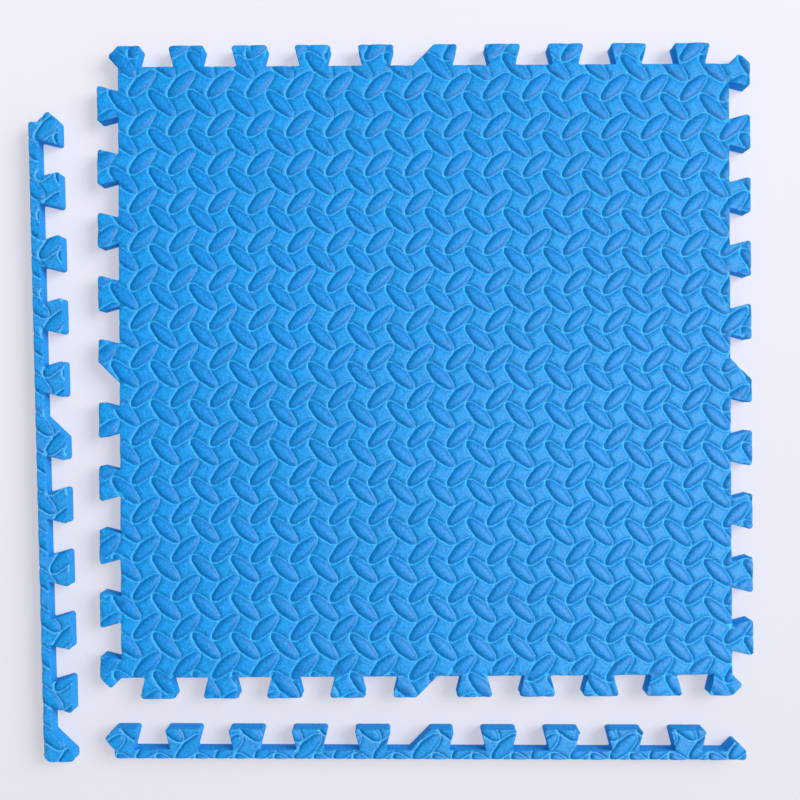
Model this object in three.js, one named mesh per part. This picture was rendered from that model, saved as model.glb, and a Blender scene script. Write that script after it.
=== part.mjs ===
// An interlocking foam blocking mat with two of its snap-on edging strips.
// Millimetres, +Z up. The origin is the centre of the mat's underside, with +X and +Y along its edges.

import * as THREE from 'three';

// Driving dimensions.
const matPitch = 300; // joined mats repeat at this distance
const teethPerSide = 10;
const toothDepth = 10; // from the root line to the tip line
const flankLean = THREE.MathUtils.degToRad(15); // a tooth is wider at its tip than at its neck
const thickness = 10;
const borderWidth = 4.2; // an edging strip's bar, behind its root line
const outerCornerRadius = 4; // on the corner edging strip

// Where the strips lie beside the mat: the middle of each strip's pitch line, and its turn in degrees.
const cornerStripPlace = { x: -175.7, y: -25.5, turn: -88.9 };
const straightStripPlace = { x: -3.4, y: -175.1, turn: -0.5 };

// Worked out from the driving dimensions.
const half = matPitch / 2;
const toothPitch = matPitch / teethPerSide;
const rise = toothDepth / 2; // the pitch line runs midway between the roots and the tips
const undercut = rise * Math.tan(flankLean);

// One foam colour for every piece.
function foam(colour) {
  return new THREE.MeshStandardMaterial({ color: colour, roughness: 0.8, metalness: 0 });
}

// One dovetail tooth that starts at x on the pitch line, from its left root to its right root.
function tooth(x) {
  const end = x + toothPitch / 2;
  return [
    [x + undercut, -rise],
    [x - undercut, rise],
    [end + undercut, rise],
    [end - undercut, -rise],
  ];
}

// The toothed edge that mats and strips share, from its left lattice corner to its last root.
// Two such edges mesh when one is turned by half a turn. The left flank of the middle tooth
// slants at 45 degrees, and so do the corners, where four mats meet in one point.
function interlockEdge() {
  const points = [[-half, 0], [-half + rise, rise]];
  points.push(...tooth(-half).slice(2));
  for (let k = 1 - teethPerSide / 2; k < teethPerSide / 2; k += 1) {
    const next = tooth(k * toothPitch);
    if (k === 0) {
      next[0] = [-rise, -rise];
      next[1] = [rise, rise];
    }
    points.push(...next);
  }
  points.push([half - rise, -rise]);
  return points.map(([x, y]) => new THREE.Vector2(x, y));
}

// The mat carries the same edge on its four sides, each a quarter turn on from the last.
function matOutline() {
  const outline = [];
  const centre = new THREE.Vector2();
  for (let side = 0; side < 4; side += 1) {
    for (const point of interlockEdge()) {
      point.y += half;
      outline.push(point.rotateAround(centre, (-side * Math.PI) / 2));
    }
  }
  return new THREE.Shape(outline);
}

// A straight strip ends square, half way across the corner where the next strip starts.
function straightStripOutline() {
  const back = -rise - borderWidth;
  const shape = new THREE.Shape(interlockEdge());
  shape.lineTo(half, 0);
  shape.lineTo(half + rise, -rise);
  shape.lineTo(half + rise, back);
  shape.lineTo(-half + rise, back);
  shape.lineTo(-half + rise, -rise);
  return shape;
}

// A corner strip runs on round the mat's corner in a full-width foot with one rounded corner.
function cornerStripOutline() {
  const back = -rise - borderWidth;
  const end = half + rise + borderWidth;
  const radius = outerCornerRadius;
  const shape = new THREE.Shape(interlockEdge());
  shape.lineTo(half + rise, rise);
  shape.lineTo(end, rise);
  shape.lineTo(end, back + radius);
  shape.absarc(end - radius, back + radius, radius, 0, -Math.PI / 2, true);
  shape.lineTo(-half + rise, back);
  shape.lineTo(-half + rise, -rise);
  return shape;
}

// A flat piece cut from foam sheet, standing on the plane z = 0.
function cutPiece(name, outline, colour, place = { x: 0, y: 0, turn: 0 }) {
  const geometry = new THREE.ExtrudeGeometry(outline, {
    depth: thickness,
    bevelEnabled: false,
    curveSegments: 6,
  });
  const mesh = new THREE.Mesh(geometry, foam(colour));
  mesh.name = name;
  mesh.position.set(place.x, place.y, 0);
  mesh.rotation.z = THREE.MathUtils.degToRad(place.turn);
  return mesh;
}

const set = new THREE.Group();
set.add(
  cutPiece('mat_tile', matOutline(), 0x3498e6),
  cutPiece('corner_edging_strip', cornerStripOutline(), 0x3898e3, cornerStripPlace),
  cutPiece('edging_strip', straightStripOutline(), 0x3691db, straightStripPlace),
);

export default set;
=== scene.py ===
import math

import bmesh
import bpy
import numpy as np
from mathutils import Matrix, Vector
from mathutils.geometry import delaunay_2d_cdt


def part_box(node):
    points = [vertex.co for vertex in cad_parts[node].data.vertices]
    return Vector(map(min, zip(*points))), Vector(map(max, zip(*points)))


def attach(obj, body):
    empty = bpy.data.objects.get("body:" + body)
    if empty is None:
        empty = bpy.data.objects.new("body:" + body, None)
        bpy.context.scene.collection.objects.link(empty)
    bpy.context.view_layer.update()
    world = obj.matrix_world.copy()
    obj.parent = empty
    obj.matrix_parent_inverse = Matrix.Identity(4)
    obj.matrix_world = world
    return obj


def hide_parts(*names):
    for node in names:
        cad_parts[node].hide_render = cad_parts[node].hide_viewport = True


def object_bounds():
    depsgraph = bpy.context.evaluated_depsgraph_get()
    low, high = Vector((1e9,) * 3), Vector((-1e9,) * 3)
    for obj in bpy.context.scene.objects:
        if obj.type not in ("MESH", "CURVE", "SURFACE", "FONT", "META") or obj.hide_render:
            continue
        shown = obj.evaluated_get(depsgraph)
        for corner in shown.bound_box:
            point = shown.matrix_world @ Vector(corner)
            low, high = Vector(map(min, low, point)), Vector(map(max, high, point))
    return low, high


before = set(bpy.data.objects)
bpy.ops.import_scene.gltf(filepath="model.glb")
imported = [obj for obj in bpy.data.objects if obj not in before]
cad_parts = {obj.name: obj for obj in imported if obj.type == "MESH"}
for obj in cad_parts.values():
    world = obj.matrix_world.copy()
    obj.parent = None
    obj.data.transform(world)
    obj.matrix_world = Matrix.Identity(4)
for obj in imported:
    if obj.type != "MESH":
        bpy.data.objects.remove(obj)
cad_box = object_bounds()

# Lengths are in metres.
MM = 0.001

# The embossing: two families of wavy rims cross and close in a leaf in every second cell. The other cells
# are flats. Heights are above the valleys that the rims run in.
RIM_WAVE = 0.118  # how far a rim swings to each side, as a share of the pattern's period
RIM_PHASE = 0.25  # from a leaf's middle to its rims, as a share of the period
RIM_HEIGHT = 0.12 * MM
RIM_WIDTH = 0.24 * MM
LEAF_HEIGHT = 0.98 * MM
LEAF_SHOULDER = 1.00 * MM  # how far in from its rims a leaf nears its full height
FIELD_HEIGHT = 0.76 * MM
FIELD_SHOULDER = 0.42 * MM
SHOULDER_POWER = 1.5  # how steeply a leaf or flat rises from its rims
CREASE_SHADE_WIDTH = 0.85 * MM  # how far from the rims the painted shade at the foot of a leaf or flat is darkest
CREASE_SHADE_SPREAD = CREASE_SHADE_WIDTH / 1.4
FIELD_CREASE_SHADE = 0.5  # the painted shade at a flat's foot is this dark, where a leaf's is 1

# What each vertex carries for the foam's material, as shares from 0 to 1. The crease share is painted shade,
# and the rim share also carries a painted highlight.
SHARES = ("leaf", "rim", "crease", "cut", "under")

# Rows of vertices, by their distance from a rim as a share of a cell: close at the rim. The big mat has
# none in the middle, where the flats and the leaves' tops are level. The strips are narrower than a cell,
# so theirs are close all over.
MAT_ROWS = (0.0, 0.022, 0.055, 0.130, 0.300)
STRIP_ROWS = (0.0, 0.022, 0.055, 0.100, 0.160, 0.230, 0.320, 0.440)
INVERSE_STEPS = 40  # more than enough for the places of the rows to settle

# The cut edge of the sheet.
OUTER_FILLET = 1.4 * MM
INNER_FILLET = 0.6 * MM
FILLET_STEPS = 4
FILLET_ROOM = 0.45  # the most of an edge that the fillet at one of its ends may take
MAT_EDGE_STEP = 1.4 * MM
STRIP_EDGE_STEP = 0.6 * MM
EDGE_ROUND = 0.45 * MM
EDGE_PROFILE = ((1.0, 0.0), (0.45, 0.10), (0.12, 0.40), (0.0, 1.0))  # inset and drop, in EDGE_ROUNDs
EDGE_CREASE_SHADE = 0.8  # how much of the painted crease shade the rounded edge takes, darker as it turns down
EDGE_CREASE_SHADE_POWER = 0.3  # how soon it takes it, going down
GRID_GAP = 0.25 * MM  # between the rounded edge and the patterned grid
CORNER_GAP = 1.65 * MM  # from an outline's sharp corners, which the fillets cut off
WALL_BOW = 0.10 * MM
BOWED_AT = (0.70, 0.30)  # as shares of the wall's height
FOOT_ROUND = EDGE_ROUND * 0.5
UNDERSIDE_GRID = 12 * MM

# Reading the frame's outlines.
SAME_POINT = 0.01 * MM
FACES_UP = 0.9  # the least Z in the normal of a face on top
TURNS = 0.01  # the least sine of a real corner's angle
TRIANGLE_PRECISION = 1e-9

# The pattern on the strips is turned a little.
CORNER_STRIP_TURN = math.radians(1.7)
STRAIGHT_STRIP_TURN = math.radians(-0.2)

# The foam's colour and sheen vary with noise of three sizes. NOISE_MIDDLE is mapped onto the other ranges.
NOISE_MIDDLE = (0.3, 0.7)
NOISE_ROUGHNESS = 0.6
FINE_GRAIN = 0.95 * MM
FINE_TINT = (0.75, 1.25)
FLUSH_PATCH = 14 * MM
WIDE_PATCH = 60 * MM
WIDE_TINT = (0.975, 1.025)
SKIN_ROUGHNESS = (0.44, 0.52)
CUT_ROUGHNESS = 0.95  # open cells scatter light, where the skin has a soft sheen
FOAM_SPECULAR = 0.26

# The foam's bumps: how far apart they lie, and how deep they are.
SKIN_CELL = 0.90 * MM
OPEN_CELL = 0.45 * MM
UNDERSIDE_CELL = 1.30 * MM
GRAIN_DEPTH = 0.09 * MM
GRAIN_STRENGTH = 0.6

# The studio: its world is dimmer to the left of the mat and at the ceiling.
FLOOR_SIZE = 40.0
FLOOR_GAP = 0.1 * MM
FLOOR_PATCH = 0.3
FLOOR_TINT = (0.99, 1.01)
FLOOR_GLOW = 0.515
FLOOR_FRONT, FLOOR_BACK = -0.22, 0.22  # the floor's painted shade, darker towards the front, changes between these, along Y
ROOM_LEFT, ROOM_RIGHT, ROOM_CEILING = 0.32, 0.74, 0.25
CEILING_BEGINS, CEILING_ENDS = 0.80, 0.97  # by the upward part of the direction that light comes from
CAMERA_PLACE = (-12.0 * MM, -13.8 * MM, 560 * MM)
CAMERA_TURN = math.radians(-0.34)
VIEW_ANGLE = math.radians(38.06)


def rotated(vector, angle):
    """The vector turned anticlockwise about Z."""
    x, y = vector
    return np.array([
        x * math.cos(angle) - y * math.sin(angle),
        x * math.sin(angle) + y * math.cos(angle),
    ])


def relief_frame(leaf_at, across, along, rows, edge_step):
    """Where one leaf's middle lies, the pattern's two repeat steps, and how fine its mesh is."""
    steps = np.array([across, along]).T
    return {
        "at": np.array(leaf_at),
        "steps": steps,
        "inverse": np.linalg.inv(steps),
        "rows": np.array(rows),
        "edge_step": edge_step,
    }


RELIEFS = {
    "mat_tile": relief_frame(
        leaf_at=(7.0 * MM, -2.7 * MM),
        across=(18.70 * MM, -0.25 * MM),
        along=(-0.06 * MM, 18.40 * MM),
        rows=MAT_ROWS,
        edge_step=MAT_EDGE_STEP,
    ),
    "corner_edging_strip": relief_frame(
        leaf_at=(-183.4 * MM, -23.5 * MM),
        across=rotated((18.51 * MM, 0), CORNER_STRIP_TURN),
        along=rotated((0, 18.66 * MM), CORNER_STRIP_TURN),
        rows=STRIP_ROWS,
        edge_step=STRIP_EDGE_STEP,
    ),
    "edging_strip": relief_frame(
        leaf_at=(-9.8 * MM, -169.5 * MM),
        across=rotated((18.74 * MM, 0), STRAIGHT_STRIP_TURN),
        along=rotated((0, 18.41 * MM), STRAIGHT_STRIP_TURN),
        rows=STRIP_ROWS,
        edge_step=STRIP_EDGE_STEP,
    ),
}


# ---- The relief, worked out at any point ----


def cell_coordinates(points, relief):
    """Each point's place among the rims: a whole number lies on a rim, and a half is a cell's middle.

    Its place in the pattern's repeat steps comes with it.
    """
    a, b = relief["inverse"] @ (points - relief["at"]).T
    first = 2 * (a + RIM_WAVE * np.sin(2 * np.pi * b) + RIM_PHASE)
    second = 2 * (b + RIM_WAVE * np.sin(2 * np.pi * a) + RIM_PHASE)
    return first, second, a, b


def points_at_cells(first, second, relief):
    """The inverse of cell_coordinates, by steps that each bring it closer."""
    a = first / 2 - RIM_PHASE
    b = second / 2 - RIM_PHASE
    for _ in range(INVERSE_STEPS):
        a = first / 2 - RIM_PHASE - RIM_WAVE * np.sin(2 * np.pi * b)
        b = second / 2 - RIM_PHASE - RIM_WAVE * np.sin(2 * np.pi * a)
    return (relief["steps"] @ np.array([a, b])).T + relief["at"]


def rim_distance(place, across_phase, period):
    """How far a point lies from the nearest rim of one family, measured square to it."""
    slope = 2 * np.pi * RIM_WAVE * np.cos(2 * np.pi * across_phase)
    return np.abs(place - np.round(place)) * period / 2 / np.sqrt(1 + slope**2)


def swell(distance, shoulder):
    """0 at a rim, and close to 1 beyond the shoulder."""
    return 1 - np.exp(-((distance / shoulder) ** SHOULDER_POWER))


def relief_at(points, relief):
    """Height above the valleys, and how much each point is leaf, rim and painted crease shade, from 0 to 1.
    The rim's share also carries a painted highlight.
    """
    first, second, a, b = cell_coordinates(points, relief)
    period_across, period_along = np.linalg.norm(relief["steps"], axis=0)
    d1 = rim_distance(first, b, period_across)
    d2 = rim_distance(second, a, period_along)
    in_leaf = (np.floor(first) + np.floor(second)) % 2 == 0
    rim = 1 - (1 - np.exp(-((d1 / RIM_WIDTH) ** 2))) * (1 - np.exp(-((d2 / RIM_WIDTH) ** 2)))
    leaf = LEAF_HEIGHT * swell(d1, LEAF_SHOULDER) * swell(d2, LEAF_SHOULDER)
    field = FIELD_HEIGHT * swell(d1, FIELD_SHOULDER) * swell(d2, FIELD_SHOULDER)
    height = np.where(in_leaf, leaf, field) + RIM_HEIGHT * rim
    # Painted shade: each leaf and flat is darker in a band at its foot near the rims, where shade falls in
    # the creases.
    past_crease = (np.minimum(d1, d2) - CREASE_SHADE_WIDTH) / CREASE_SHADE_SPREAD
    crease = np.where(in_leaf, 1.0, FIELD_CREASE_SHADE) * np.exp(-(past_crease**2))
    return height, in_leaf * (1 - rim), rim, crease * (1 - rim)


# ---- Outlines ----


def top_outline(node):
    """The CAD node's upper outline, anticlockwise, with only its real corners."""
    mesh = bmesh.new()
    mesh.from_mesh(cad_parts[node].data)
    bmesh.ops.remove_doubles(mesh, verts=mesh.verts, dist=SAME_POINT)
    mesh.normal_update()
    follows = {}
    for face in mesh.faces:
        if face.normal.z < FACES_UP:
            continue
        for loop in face.loops:
            tops = [f for f in loop.edge.link_faces if f.normal.z > FACES_UP]
            if len(tops) == 1:
                follows[loop.vert] = loop.link_loop_next.vert
    start = next(iter(follows))
    chain = [start]
    while follows[chain[-1]] is not start:
        chain.append(follows[chain[-1]])
    points = np.array([v.co[:2] for v in chain])
    mesh.free()
    before = points - np.roll(points, 1, axis=0)
    after = np.roll(points, -1, axis=0) - points
    turn = before[:, 0] * after[:, 1] - before[:, 1] * after[:, 0]
    lengths = np.linalg.norm(before, axis=1) * np.linalg.norm(after, axis=1)
    return points[np.abs(turn) > TURNS * lengths]


def corner_directions(points):
    """At each corner: the directions of the edges behind and ahead, the edge ahead's length, and the turn."""
    ahead = np.roll(points, -1, axis=0) - points
    lengths = np.linalg.norm(ahead, axis=1)
    ahead /= lengths[:, None]
    behind = np.roll(ahead, 1, axis=0)
    cross = behind[:, 0] * ahead[:, 1] - behind[:, 1] * ahead[:, 0]
    dot = (behind * ahead).sum(axis=1)
    return behind, ahead, lengths, np.arctan2(cross, dot)


def fillet_arc(corner, normal_behind, normal_ahead, turn, radius, inset):
    """Points round one rounded corner that is moved in by inset."""
    # A convex corner's arc has its centre inside the outline, a concave one's outside.
    side = 1 if turn > 0 else -1
    bisector = (normal_behind + normal_ahead) / (1 + math.cos(turn))
    centre = corner + side * radius * bisector
    reach = radius - side * inset
    arc = []
    for step in range(FILLET_STEPS + 1):
        direction = rotated(-side * normal_behind, step / FILLET_STEPS * turn)
        arc.append(centre + reach * direction)
    return arc


def ring(points, inset, edge_step):
    """The outline moved in by inset, its corners rounded. Every inset gives the same number of points."""
    behind, ahead, lengths, turn = corner_directions(points)
    normal_behind = np.stack([-behind[:, 1], behind[:, 0]], axis=1)
    normal_ahead = np.stack([-ahead[:, 1], ahead[:, 0]], axis=1)
    arcs = []
    taken = []  # how much of its edges each fillet takes
    for i, corner in enumerate(points):
        half_tangent = math.tan(abs(turn[i]) / 2)
        room = min(lengths[i - 1], lengths[i]) * FILLET_ROOM
        radius = min(OUTER_FILLET if turn[i] > 0 else INNER_FILLET, room / half_tangent)
        arcs.append(fillet_arc(corner, normal_behind[i], normal_ahead[i], turn[i], radius, inset))
        taken.append(radius * half_tangent)
    result = []
    for i, arc in enumerate(arcs):
        after = (i + 1) % len(arcs)
        straight = lengths[i] - taken[i] - taken[after]
        count = max(1, round(straight / edge_step))
        result.extend(arc)
        for step in range(1, count):
            result.append(arc[-1] + (arcs[after][0] - arc[-1]) * step / count)
    return np.array(result)


def inside_by(points, outline, margin, corner_margin=0.0):
    """Which points lie inside the outline, and further than the margins from it and from its corners."""
    inside = np.zeros(len(points), bool)
    near = np.zeros(len(points), bool)
    reach = max(margin, corner_margin)
    for start, end in zip(outline, np.roll(outline, -1, axis=0)):
        along = end - start
        # A level edge has no point beside it, so the 1 that stands in for its rise is never used.
        beside = np.nonzero((start[1] > points[:, 1]) != (end[1] > points[:, 1]))[0]
        crossing_x = start[0] + (points[beside, 1] - start[1]) / (along[1] or 1) * along[0]
        inside[beside] ^= points[beside, 0] < crossing_x
        low = np.minimum(start, end) - reach
        high = np.maximum(start, end) + reach
        close = np.nonzero(((points > low) & (points < high)).all(axis=1))[0]
        offset = points[close] - start
        share = np.clip(offset @ along / (along @ along), 0, 1)
        gap = offset - share[:, None] * along
        near[close] |= (gap**2).sum(axis=1) < margin**2
        near[close] |= (offset**2).sum(axis=1) < corner_margin**2
    return inside & ~near


# ---- The sheet's mesh ----


def row_places(rows, low, high):
    """Cell coordinates of the vertex rows from low to high, mirrored about each cell's middle."""
    one_cell = np.concatenate([rows, 1 - rows[:0:-1]])
    starts = np.arange(math.floor(low), math.ceil(high))
    return (starts[:, None] + one_cell[None, :]).ravel()


def with_middles(places):
    """The places with the middle of each step between them."""
    result = np.empty(2 * len(places) - 1)
    result[::2] = places
    result[1::2] = (places[:-1] + places[1:]) / 2
    return result


def patterned_grid(outline, relief):
    """Vertices on rows that follow the rims, and the quads that lie wholly inside the outline."""
    low, high = outline.min(axis=0), outline.max(axis=0)
    corners = np.array([(x, y) for x in (low[0], high[0]) for y in (low[1], high[1])])
    first, second, _, _ = cell_coordinates(corners, relief)
    rows_a = with_middles(row_places(relief["rows"], first.min() - 1, first.max() + 1))
    rows_b = with_middles(row_places(relief["rows"], second.min() - 1, second.max() + 1))
    grid_a, grid_b = np.meshgrid(rows_a, rows_b, indexing="ij")
    points = points_at_cells(grid_a.ravel(), grid_b.ravel(), relief)
    inside = inside_by(points, outline, EDGE_ROUND + GRID_GAP, CORNER_GAP).reshape(grid_a.shape)
    points = points.reshape(*grid_a.shape, 2)[::2, ::2]
    # A quad spans two steps each way, and all nine of its points have to be inside.
    across = inside[:-2:2] & inside[1:-1:2] & inside[2::2]
    full = across[:, :-2:2] & across[:, 1:-1:2] & across[:, 2::2]
    i, j = np.nonzero(full)
    width = points.shape[1]
    corner = i * width + j
    quads = np.stack([corner, corner + width, corner + width + 1, corner + 1], axis=1)
    used, place = np.unique(quads, return_inverse=True)
    return points.reshape(-1, 2)[used], place.reshape(quads.shape)


def border_edges(quads):
    """The grid's own outline, as directed edges with the grid on their left."""
    edges = np.concatenate([quads[:, [k, (k + 1) % 4]] for k in range(4)])
    directed = set(map(tuple, edges.tolist()))
    return [(a, b) for a, b in directed if (b, a) not in directed]


def closed_loop(count):
    """The edges that join count points in a ring."""
    return [(k, (k + 1) % count) for k in range(count)]


def faces_within(faces, held):
    """The faces on the left of the held edges, and those that are reached from them without crossing one."""
    owner = {}
    for k, face in enumerate(faces):
        for a, b in zip(face, face[1:] + face[:1]):
            owner[(a, b)] = k
    fixed = {frozenset(edge) for edge in held}
    waiting = [owner[edge] for edge in held if edge in owner]
    kept = set(waiting)
    while waiting:
        face = faces[waiting.pop()]
        for a, b in zip(face, face[1:] + face[:1]):
            beyond = owner.get((b, a))
            if beyond is None or beyond in kept or frozenset((a, b)) in fixed:
                continue
            kept.add(beyond)
            waiting.append(beyond)
    return [faces[k] for k in sorted(kept)]


def fill_between(ring_points, grid_points, inner_edges):
    """Triangles between a closed ring of points and the grid's outline, and which vertices are the grid's."""
    count = len(ring_points)
    inner = sorted({v for edge in inner_edges for v in edge})
    place = {v: k + count for k, v in enumerate(inner)}
    held = closed_loop(count) + [(place[b], place[a]) for a, b in inner_edges]
    flat = [Vector(p) for p in ring_points] + [Vector(grid_points[v]) for v in inner]
    _, _, faces, origins, _, _ = delaunay_2d_cdt(flat, held, [], 0, TRIANGLE_PRECISION)
    faces = [[origins[v][0] for v in face] for face in faces]
    names = list(range(count)) + inner
    return [[(names[v], v >= count) for v in face] for face in faces_within(faces, held)]


def fill_underside(ring_points):
    """Triangles over the underside, with a loose grid of points between its edges."""
    low, high = ring_points.min(axis=0), ring_points.max(axis=0)
    xs = np.arange(low[0], high[0], UNDERSIDE_GRID)
    ys = np.arange(low[1], high[1], UNDERSIDE_GRID)
    loose = np.array([(x, y) for x in xs for y in ys])
    loose = loose[inside_by(loose, ring_points, UNDERSIDE_GRID / 4)]
    count = len(ring_points)
    flat = [Vector(p) for p in ring_points] + [Vector(p) for p in loose]
    whole = [list(range(count))]
    _, _, faces, origins, _, _ = delaunay_2d_cdt(flat, closed_loop(count), whole, 1, TRIANGLE_PRECISION)
    return loose, [[origins[v][0] for v in face] for face in faces]


def embossed(points, relief, valleys, drop=0.0):
    """Points on the patterned top, or on its rounded edge at a drop of up to 1: places, heights, shares."""
    height, leaf, rim, crease = relief_at(points, relief)
    # Painted shade: the rounded edge grows darker as it turns down to the cut side.
    crease = np.maximum(crease, EDGE_CREASE_SHADE * drop**EDGE_CREASE_SHADE_POWER)
    shares = (leaf, rim, crease, np.full(len(points), drop), np.zeros(len(points)))
    return points, valleys + height - drop * EDGE_ROUND, shares


def unembossed(points, z, under=0.0):
    """Points on the cut sides, or on the underside where under is 1: places, heights, shares."""
    nothing = np.zeros(len(points))
    shares = (nothing, nothing, nothing, np.ones(len(points)), np.full(len(points), under))
    return points, np.full(len(points), z), shares


def edge_rings(outline, relief, bottom, valleys):
    """The rings of points down the cut edge, from the patterned grid to the underside."""
    edge_step = relief["edge_step"]
    rings = []
    for inset, drop in EDGE_PROFILE:
        rings.append(embossed(ring(outline, inset * EDGE_ROUND, edge_step), relief, valleys, drop))
    span = valleys - EDGE_ROUND - bottom
    for share in BOWED_AT:
        rings.append(unembossed(ring(outline, WALL_BOW, edge_step), bottom + span * share))
    rings.append(unembossed(ring(outline, 0.0, edge_step), bottom + FOOT_ROUND))
    rings.append(unembossed(ring(outline, FOOT_ROUND, edge_step), bottom, under=1.0))
    return rings


def band_faces(count, ring_count):
    """Quads from each ring of count points to the next one down."""
    faces = []
    for level in range(ring_count - 1):
        upper, lower = level * count, (level + 1) * count
        for here, after in closed_loop(count):
            faces.append([upper + after, upper + here, lower + here, lower + after])
    return faces


def sheet_piece(name, node, relief):
    """One piece of embossed foam sheet: patterned top, cut walls and plain underside, in one closed mesh."""
    low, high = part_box(node)
    bottom, valleys = low[2], high[2] - FIELD_HEIGHT
    outline = top_outline(node)
    rings = edge_rings(outline, relief, bottom, valleys)
    first_ring, last_ring = rings[0][0], rings[-1][0]
    grid, quads = patterned_grid(outline, relief)
    loose, under = fill_underside(last_ring)
    patches = rings + [embossed(grid, relief, valleys), unembossed(loose, bottom, under=1.0)]

    # Vertices come in the order of the patches. These are where three of the patches begin.
    count = len(first_ring)
    at_last_ring = count * (len(rings) - 1)
    at_grid = count * len(rings)
    at_loose = at_grid + len(grid)
    faces = (quads + at_grid).tolist()
    for triangle in fill_between(first_ring, grid, border_edges(quads)):
        faces.append([v + at_grid if on_grid else v for v, on_grid in triangle])
    faces += band_faces(count, len(rings))
    for triangle in under:
        faces.append([v + at_last_ring if v < count else v - count + at_loose for v in triangle[::-1]])
    return mesh_object(name, patches, faces)


def mesh_object(name, patches, faces):
    """A smooth-shaded object with the patches' vertices, which carry their shares."""
    places, heights, shares = zip(*patches)
    vertices = np.column_stack([np.concatenate(places), np.concatenate(heights)])
    mesh = bpy.data.meshes.new(name)
    mesh.from_pydata(vertices.tolist(), [], faces)
    for share_name, values in zip(SHARES, zip(*shares)):
        layer = mesh.attributes.new(share_name, "FLOAT", "POINT")
        layer.data.foreach_set("value", np.concatenate(values).astype(np.float32))
    mesh.polygons.foreach_set("use_smooth", np.ones(len(mesh.polygons), bool))
    mesh.validate()
    piece = bpy.data.objects.new(name, mesh)
    bpy.context.scene.collection.objects.link(piece)
    return piece


# ---- Materials ----


def srgb(red, green, blue):
    """A colour given in the 0 to 255 steps of a screen, as the linear colour that shaders take."""
    def linear(step):
        share = step / 255
        return share / 12.92 if share <= 0.04045 else ((share + 0.055) / 1.055) ** 2.4
    return (linear(red), linear(green), linear(blue), 1.0)


def new_material(name):
    """A material, its node tree and its shader."""
    material = bpy.data.materials.new(name)
    material.use_nodes = True
    tree = material.node_tree
    return material, tree, tree.nodes["Principled BSDF"]


def object_place(tree):
    """Where a point lies on the object, in metres."""
    return tree.nodes.new("ShaderNodeTexCoord").outputs["Object"]


def attribute(tree, name):
    """One of the shares that the vertices carry."""
    node = tree.nodes.new("ShaderNodeAttribute")
    node.attribute_name = name
    return node.outputs["Fac"]


def noise(tree, place, size, detail=2.0):
    """Noise whose grains are about size metres across."""
    node = tree.nodes.new("ShaderNodeTexNoise")
    node.inputs["Scale"].default_value = 1 / size
    node.inputs["Detail"].default_value = detail
    node.inputs["Roughness"].default_value = NOISE_ROUGHNESS
    tree.links.new(place, node.inputs["Vector"])
    return node.outputs["Fac"]


def cells(tree, place, size, randomness):
    """Rounded cells about size metres across, as the distance from each cell's middle."""
    node = tree.nodes.new("ShaderNodeTexVoronoi")
    node.inputs["Scale"].default_value = 1 / size
    node.inputs["Randomness"].default_value = randomness
    tree.links.new(place, node.inputs["Vector"])
    return node.outputs["Distance"]


def feed(tree, value, socket):
    """Gives a socket another socket's output, or a plain value."""
    if hasattr(value, "is_output"):
        tree.links.new(value, socket)
    else:
        socket.default_value = value


def mix_colours(tree, share, first, second):
    """Goes from the first colour to the second as the share goes from 0 to 1."""
    node = tree.nodes.new("ShaderNodeMix")
    node.data_type = "RGBA"
    tree.links.new(share, node.inputs[0])
    feed(tree, first, node.inputs[6])
    feed(tree, second, node.inputs[7])
    return node.outputs[2]


def mix_values(tree, share, first, second):
    """Goes from the first number to the second as the share goes from 0 to 1."""
    node = tree.nodes.new("ShaderNodeMix")
    tree.links.new(share, node.inputs[0])
    feed(tree, first, node.inputs[2])
    feed(tree, second, node.inputs[3])
    return node.outputs[0]


def rescale(tree, value, source, target):
    """Maps the value from the source range onto the target range, and keeps it there."""
    node = tree.nodes.new("ShaderNodeMapRange")
    limits = (*source, *target)
    for socket, limit in zip(("From Min", "From Max", "To Min", "To Max"), limits):
        node.inputs[socket].default_value = limit
    tree.links.new(value, node.inputs["Value"])
    return node.outputs["Result"]


def spread(tree, grain, target):
    """Maps the middle of a noise's range onto the target range."""
    return rescale(tree, grain, NOISE_MIDDLE, target)


def tint(tree, colour, value):
    """The colour, made lighter or darker by a value near 1."""
    node = tree.nodes.new("ShaderNodeHueSaturation")
    tree.links.new(value, node.inputs["Value"])
    tree.links.new(colour, node.inputs["Color"])
    return node.outputs["Color"]


def foam_colour(tree, place, fine, field, flush, leaf, rim, crease, cut):
    """Flats that vary from field to flush, then the leaves, the painted crease shade, the rims with their
    painted highlight and the cut sides, and the grain.
    """
    patches = noise(tree, place, FLUSH_PATCH)
    wide = noise(tree, place, WIDE_PATCH, detail=3.0)
    colour = mix_colours(tree, spread(tree, patches, (0.0, 1.0)), field, flush)
    for share, shade in (("leaf", leaf), ("crease", crease), ("rim", rim), ("cut", cut)):
        colour = mix_colours(tree, attribute(tree, share), colour, shade)
    colour = tint(tree, colour, spread(tree, wide, WIDE_TINT))
    return tint(tree, colour, spread(tree, fine, FINE_TINT))


def foam_grain(tree, place):
    """The bumps of the skin, of the open cells on the cut sides, and of the underside's grid."""
    skin = cells(tree, place, SKIN_CELL, 1.0)
    pores = cells(tree, place, OPEN_CELL, 1.0)
    grid = cells(tree, place, UNDERSIDE_CELL, 0.0)
    height = mix_values(tree, attribute(tree, "cut"), skin, pores)
    height = mix_values(tree, attribute(tree, "under"), height, grid)
    grain = tree.nodes.new("ShaderNodeBump")
    grain.inputs["Strength"].default_value = GRAIN_STRENGTH
    grain.inputs["Distance"].default_value = GRAIN_DEPTH
    tree.links.new(height, grain.inputs["Height"])
    return grain.outputs["Normal"]


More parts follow.
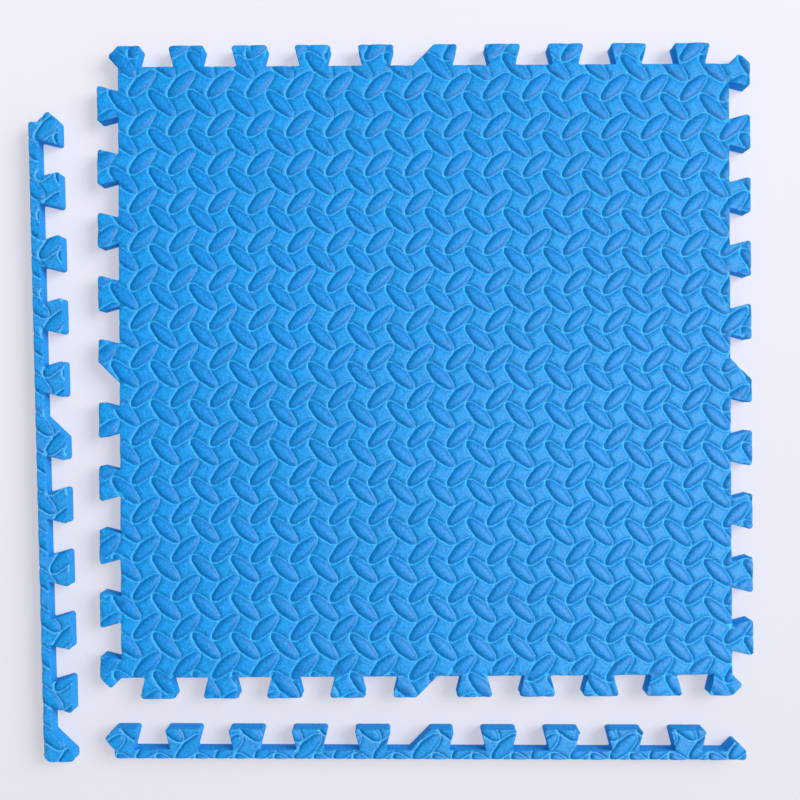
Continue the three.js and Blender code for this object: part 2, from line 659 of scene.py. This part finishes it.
def foam(name, **colours):
    """EVA foam: a grained skin on top, open cells where the sheet was cut, and a fine grid below."""
    material, tree, shader = new_material(name)
    place = object_place(tree)
    fine = noise(tree, place, FINE_GRAIN)
    sheen = spread(tree, fine, SKIN_ROUGHNESS)
    roughness = mix_values(tree, attribute(tree, "cut"), sheen, CUT_ROUGHNESS)
    tree.links.new(foam_colour(tree, place, fine, **colours), shader.inputs["Base Color"])
    tree.links.new(roughness, shader.inputs["Roughness"])
    tree.links.new(foam_grain(tree, place), shader.inputs["Normal"])
    shader.inputs["Specular IOR Level"].default_value = FOAM_SPECULAR
    return material


def floor_material():
    """A pale table that is lit a little from below, as a product photographer's is, with painted shade: its
    colour is darker towards the front.
    """
    material, tree, shader = new_material("studio_floor")
    place = object_place(tree)
    parts = tree.nodes.new("ShaderNodeSeparateXYZ")
    tree.links.new(place, parts.inputs["Vector"])
    painted_shade_from_front = rescale(tree, parts.outputs["Y"], (FLOOR_FRONT, FLOOR_BACK), (0.0, 1.0))
    # Painted shade: the floor's colour goes from darker at the front to lighter at the back.
    colour = mix_colours(tree, painted_shade_from_front, srgb(148, 148, 155), srgb(168, 167, 175))
    colour = tint(tree, colour, spread(tree, noise(tree, place, FLOOR_PATCH), FLOOR_TINT))
    tree.links.new(colour, shader.inputs["Base Color"])
    shader.inputs["Roughness"].default_value = 0.7
    shader.inputs["Specular IOR Level"].default_value = 0.1
    shader.inputs["Emission Color"].default_value = srgb(250, 248, 255)
    shader.inputs["Emission Strength"].default_value = FLOOR_GLOW
    return material


# ---- The object ----

# In both foams, the rim colour is a painted highlight along the rims' low real ridge, and the crease colour
# is painted shade at the foot of leaves and flats and down the rounded edge.
tile_foam = foam(
    "tile_foam_blue",
    field=srgb(2, 156, 234),
    flush=srgb(16, 153, 235),
    leaf=srgb(1, 144, 225),
    rim=srgb(54, 186, 249),
    crease=srgb(1, 117, 197),
    cut=srgb(3, 148, 223),
)
edging_foam = foam(
    "edging_foam_blue",
    field=srgb(20, 155, 229),
    flush=srgb(48, 152, 231),
    leaf=srgb(9, 147, 224),
    rim=srgb(84, 189, 247),
    crease=srgb(3, 116, 193),
    cut=srgb(30, 148, 222),
)

PIECES = (
    ("foam_mat_tile", "mat_tile", "tile", "tile_foam", tile_foam),
    ("foam_corner_edging", "corner_edging_strip", "corner_strip", "edging_foam", edging_foam),
    ("foam_straight_edging", "edging_strip", "straight_strip", "edging_foam", edging_foam),
)
for name, node, body, slot, material in PIECES:
    piece = sheet_piece(name, node, RELIEFS[node])
    piece.data.materials.append(material)
    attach(piece, body)
    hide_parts(node)


# ---- Floor, light and camera ----


def add_floor():
    """A plain floor, just below the foam."""
    bpy.ops.mesh.primitive_plane_add(size=FLOOR_SIZE, location=(0, 0, cad_box[0][2] - FLOOR_GAP))
    floor = bpy.context.object
    floor.name = "floor"
    floor.data.materials.append(floor_material())


def add_area_light(name, azimuth, elevation, distance, size, power, colour):
    """A square lamp that looks at the mat's middle. Azimuth 0 is +X, and 90 is +Y."""
    turn, lift = math.radians(azimuth), math.radians(elevation)
    towards = Vector((
        math.cos(lift) * math.cos(turn),
        math.cos(lift) * math.sin(turn),
        math.sin(lift),
    ))
    lamp = bpy.data.lights.new(name, "AREA")
    lamp.shape = "SQUARE"
    lamp.size = size
    lamp.energy = power
    lamp.color = colour
    holder = bpy.data.objects.new(name, lamp)
    holder.location = towards * distance
    holder.rotation_euler = (-towards).to_track_quat("-Z", "Y").to_euler()
    bpy.context.scene.collection.objects.link(holder)
    return holder


def add_lights():
    """A soft key lamp from the right, and a small panel high up that hazes the foam."""
    key = add_area_light(
        "key", azimuth=20, elevation=44, distance=5.5, size=3.0, power=294.0, colour=(1.0, 0.985, 0.97)
    )
    key.visible_glossy = False  # it only shapes the relief
    panel = add_area_light(
        "sheen panel", azimuth=-12, elevation=65, distance=3.0, size=0.8, power=90.0, colour=(1.0, 1.0, 1.0)
    )
    panel.visible_diffuse = False  # it only shows in the foam's sheen


def add_surroundings():
    """A soft white room, brighter towards +X, with a dark ceiling that the foam can't mirror."""
    world = bpy.data.worlds.new("studio")
    bpy.context.scene.world = world
    world.use_nodes = True
    tree = world.node_tree
    direction = tree.nodes.new("ShaderNodeSeparateXYZ")
    tree.links.new(tree.nodes.new("ShaderNodeTexCoord").outputs["Generated"], direction.inputs["Vector"])
    across = rescale(tree, direction.outputs["X"], (-1.0, 1.0), (ROOM_LEFT, ROOM_RIGHT))
    above = rescale(tree, direction.outputs["Z"], (CEILING_BEGINS, CEILING_ENDS), (1.0, ROOM_CEILING))
    strength = tree.nodes.new("ShaderNodeMath")
    strength.operation = "MULTIPLY"
    tree.links.new(across, strength.inputs[0])
    tree.links.new(above, strength.inputs[1])
    background = tree.nodes["Background"]
    background.inputs["Color"].default_value = (0.92, 0.95, 1.0, 1.0)
    tree.links.new(strength.outputs["Value"], background.inputs["Strength"])


def add_camera():
    """Straight above the mat, a little off its middle."""
    camera = bpy.data.cameras.new("camera")
    camera.sensor_width = 36.0
    camera.lens_unit = "FOV"
    camera.angle = VIEW_ANGLE
    camera.clip_start = 0.01
    holder = bpy.data.objects.new("camera", camera)
    holder.location = CAMERA_PLACE
    holder.rotation_euler = (0.0, 0.0, CAMERA_TURN)
    bpy.context.scene.collection.objects.link(holder)
    bpy.context.scene.camera = holder


add_floor()
add_lights()
add_surroundings()
add_camera()
bpy.context.scene.view_settings.view_transform = "Standard"
